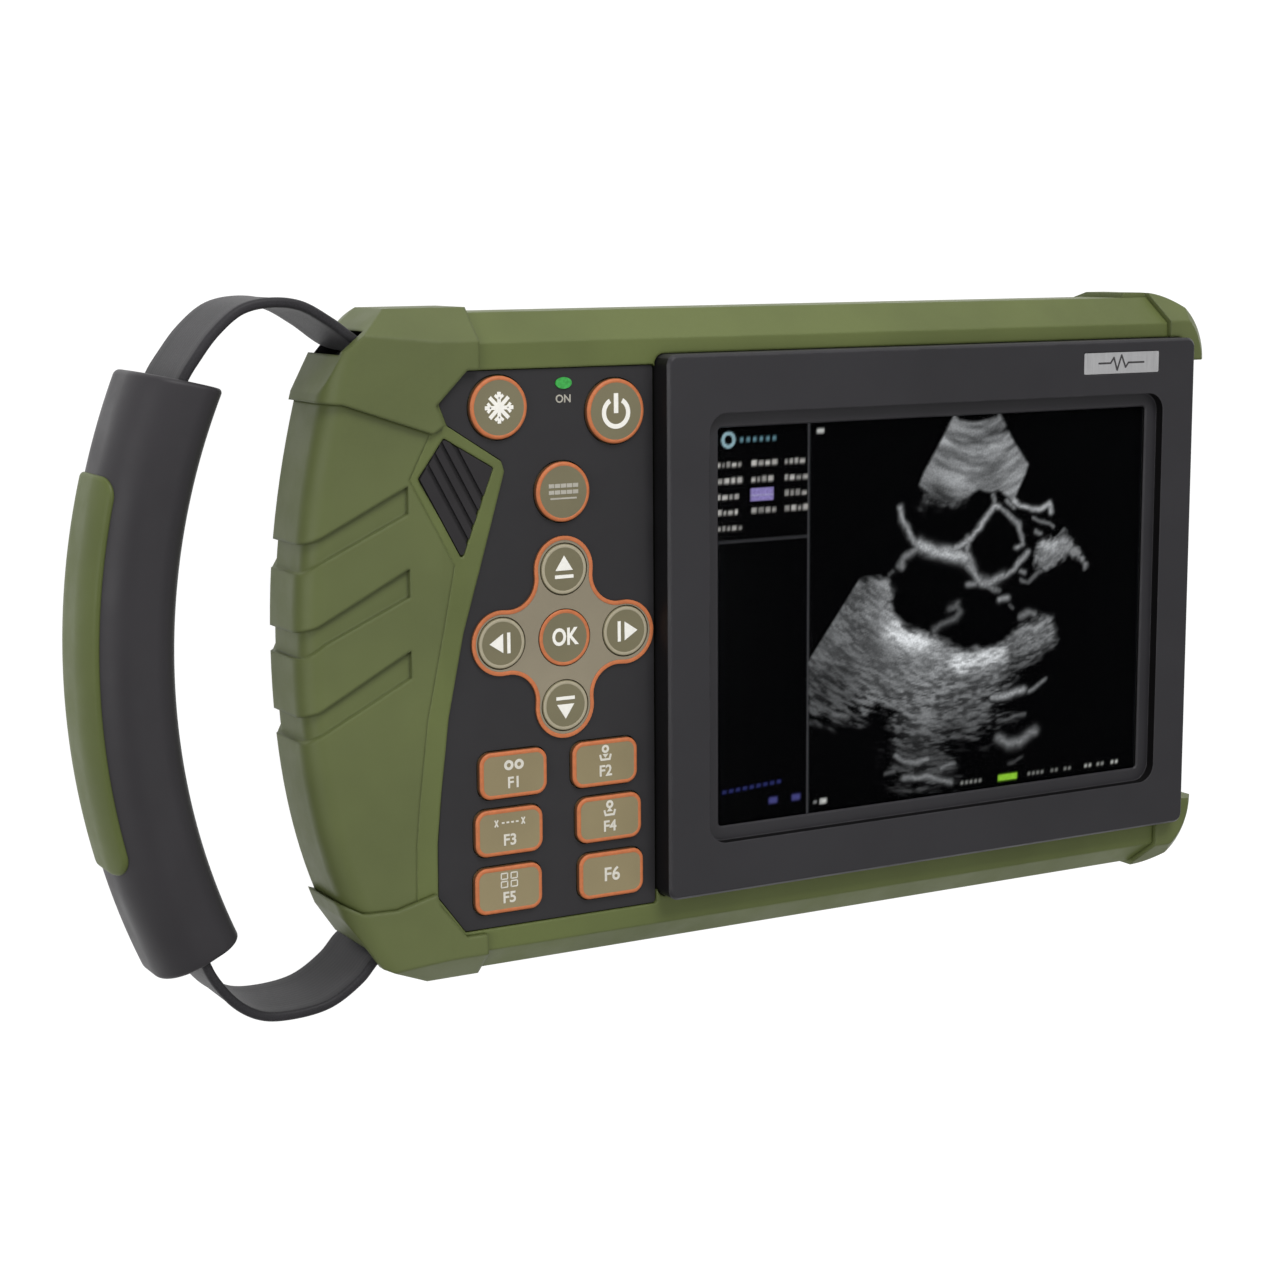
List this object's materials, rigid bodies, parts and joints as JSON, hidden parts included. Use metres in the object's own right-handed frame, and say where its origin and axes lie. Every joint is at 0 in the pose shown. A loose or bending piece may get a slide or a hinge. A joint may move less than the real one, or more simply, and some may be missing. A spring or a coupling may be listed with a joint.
{
  "type": "ultrasound scanner",
  "caption": "Handheld veterinary ultrasound scanner with a framed display, rubber keypad, green armoured case and a side hand strap with a curved grip.",
  "frame": {"origin": "middle of the object's outline on the plane its rear feet stand on, lying on its back", "axes": "+X right along the face, away from the handle; +Y up the face; +Z out of the screen"},
  "size_m": [0.2658, 0.1405, 0.038],
  "materials": {
    "shell_green": "satin moulded plastic, fine spark texture",
    "skin_green": "soft-touch overmoulded elastomer",
    "bezel_black": "fine matte moulded plastic",
    "panel_black": "matte film-faced panel",
    "inlay_black": "ribbed matte rubber",
    "key_olive": "silicone key with printed rim and icon",
    "dpad_olive": "silicone with printed rim",
    "window_glass": "clear hardened window",
    "lcd": "colour display, lit",
    "gasket_black": "foam gasket",
    "seal_grey": "silicone seal",
    "badge_silver": "brushed plate",
    "led_green": "clear light pipe",
    "board_green": "circuit board",
    "bracket_alu": "sheet",
    "brass": "turned",
    "steel": "zinc-plated",
    "mat_silicone": "translucent silicone",
    "battery_wrap": "shrink-wrapped pack",
    "feet_black": "matte rubber",
    "socket_black": "connector body",
    "pins_gold": "gold-plated contacts",
    "strap_charcoal": "dense woven webbing",
    "sleeve_charcoal": "soft-touch rubber",
    "pad_green": "soft-touch rubber pad"
  },
  "bodies": {
    "housing": {"badge_plate": "badge_silver", "battery_pack": "battery_wrap", "board_screws": "steel", "board_standoffs": "brass", "bumper_bottom_left": "skin_green", "bumper_bottom_right": "skin_green", "bumper_top_left": "skin_green", "bumper_top_right": "skin_green", "buzzer": "socket_black", "dc_jack": "socket_black", "display_window": "window_glass", "door_hinge_pin": "steel", "dpad_plate": "dpad_olive", "flap_hinge_pin": "steel", "front_shell": "shell_green", "grip_cover": "skin_green", "grip_pad": "pad_green", "grip_sleeve": "sleeve_charcoal", "hand_strap": "strap_charcoal", "keypad_board": "board_green", "keypad_mat": "mat_silicone", "keypad_panel": "panel_black", "lcd_bracket": "bracket_alu", "lcd_module": "lcd", "led_light_pipe": "led_green", "main_board": "board_green", "probe_socket": "socket_black", "probe_socket_pins": "pins_gold", "rear_feet": "feet_black", "rear_shell": "shell_green", "rib_inlay": "inlay_black", "screen_bezel": "bezel_black", "shell_screws": "steel", "shell_seal": "seal_grey", "strap_pin_lower": "steel", "strap_pin_upper": "steel", "threaded_inserts": "brass", "usb_port": "steel", "window_gasket": "gasket_black"},
    "freeze_key_cap": {"freeze_key": "key_olive"},
    "power_key_cap": {"power_key": "key_olive"},
    "mode_key_cap": {"mode_key": "key_olive"},
    "up_key_cap": {"up_key": "key_olive"},
    "left_key_cap": {"left_key": "key_olive"},
    "right_key_cap": {"right_key": "key_olive"},
    "down_key_cap": {"down_key": "key_olive"},
    "ok_key_cap": {"ok_key": "key_olive"},
    "f1_key_cap": {"f1_key": "key_olive"},
    "f2_key_cap": {"f2_key": "key_olive"},
    "f3_key_cap": {"f3_key": "key_olive"},
    "f4_key_cap": {"f4_key": "key_olive"},
    "f5_key_cap": {"f5_key": "key_olive"},
    "f6_key_cap": {"f6_key": "key_olive"},
    "door": {"battery_door": "shell_green"},
    "latch": {"battery_latch": "panel_black"},
    "flap": {"port_flap": "inlay_black"}
  },
  "joints": [
    {"name": "freeze_press", "type": "slide", "parent": "housing", "child": "freeze_key_cap", "axis": [0, 0, -1], "range_m": [0, 0.001], "stiffness_N_per_m": 600},
    {"name": "power_press", "type": "slide", "parent": "housing", "child": "power_key_cap", "axis": [0, 0, -1], "range_m": [0, 0.001], "stiffness_N_per_m": 600},
    {"name": "mode_press", "type": "slide", "parent": "housing", "child": "mode_key_cap", "axis": [0, 0, -1], "range_m": [0, 0.001], "stiffness_N_per_m": 600},
    {"name": "up_press", "type": "slide", "parent": "housing", "child": "up_key_cap", "axis": [0, 0, -1], "range_m": [0, 0.001], "stiffness_N_per_m": 600},
    {"name": "left_press", "type": "slide", "parent": "housing", "child": "left_key_cap", "axis": [0, 0, -1], "range_m": [0, 0.001], "stiffness_N_per_m": 600},
    {"name": "right_press", "type": "slide", "parent": "housing", "child": "right_key_cap", "axis": [0, 0, -1], "range_m": [0, 0.001], "stiffness_N_per_m": 600},
    {"name": "down_press", "type": "slide", "parent": "housing", "child": "down_key_cap", "axis": [0, 0, -1], "range_m": [0, 0.001], "stiffness_N_per_m": 600},
    {"name": "ok_press", "type": "slide", "parent": "housing", "child": "ok_key_cap", "axis": [0, 0, -1], "range_m": [0, 0.001], "stiffness_N_per_m": 600},
    {"name": "f1_press", "type": "slide", "parent": "housing", "child": "f1_key_cap", "axis": [0, 0, -1], "range_m": [0, 0.001], "stiffness_N_per_m": 600},
    {"name": "f2_press", "type": "slide", "parent": "housing", "child": "f2_key_cap", "axis": [0, 0, -1], "range_m": [0, 0.001], "stiffness_N_per_m": 600},
    {"name": "f3_press", "type": "slide", "parent": "housing", "child": "f3_key_cap", "axis": [0, 0, -1], "range_m": [0, 0.001], "stiffness_N_per_m": 600},
    {"name": "f4_press", "type": "slide", "parent": "housing", "child": "f4_key_cap", "axis": [0, 0, -1], "range_m": [0, 0.001], "stiffness_N_per_m": 600},
    {"name": "f5_press", "type": "slide", "parent": "housing", "child": "f5_key_cap", "axis": [0, 0, -1], "range_m": [0, 0.001], "stiffness_N_per_m": 600},
    {"name": "f6_press", "type": "slide", "parent": "housing", "child": "f6_key_cap", "axis": [0, 0, -1], "range_m": [0, 0.001], "stiffness_N_per_m": 600},
    {"name": "battery_door_hinge", "type": "hinge", "parent": "housing", "child": "door", "pos_m": [0.05555, -0.03, 0.00245], "axis": [-1, 0, 0], "range_deg": [0, 95]},
    {"name": "battery_latch_slide", "type": "slide", "parent": "housing", "child": "latch", "axis": [0, 1, 0], "range_m": [0, 0.003]},
    {"name": "port_flap_hinge", "type": "hinge", "parent": "housing", "child": "flap", "pos_m": [0.12855, -0.0363, 0.017], "axis": [0, 0, -1], "range_deg": [0, 95]}
  ]
}
